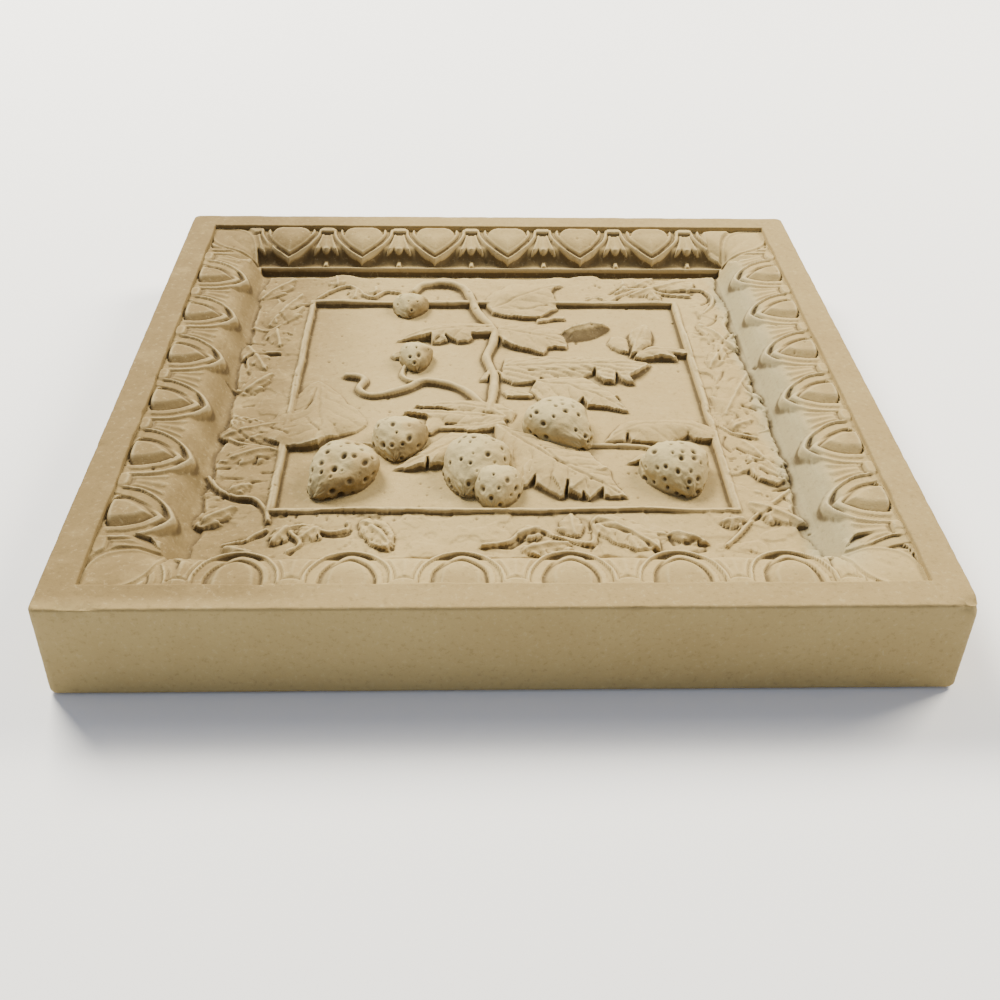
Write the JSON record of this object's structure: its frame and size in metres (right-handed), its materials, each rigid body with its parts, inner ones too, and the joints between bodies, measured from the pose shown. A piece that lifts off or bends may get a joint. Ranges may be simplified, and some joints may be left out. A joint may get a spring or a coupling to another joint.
{
  "type": "relief wall tile",
  "caption": "Square cast-stone wall tile with a raised rim, an egg-and-dart border and a sunk panel of strawberries, leaves and vine in relief.",
  "frame": {"origin": "middle of the flat back face, which goes against the wall", "axes": "+Z out of the wall through the carved face, +Y up towards the top edge of the tile, +X to the right as seen from the front"},
  "size_m": [0.3048, 0.3048, 0.038],
  "materials": {
    "cast_stone": "matte, dry cast stone, faintly mottled"
  },
  "bodies": {
    "root": {"tile": "cast_stone"}
  },
  "joints": []
}
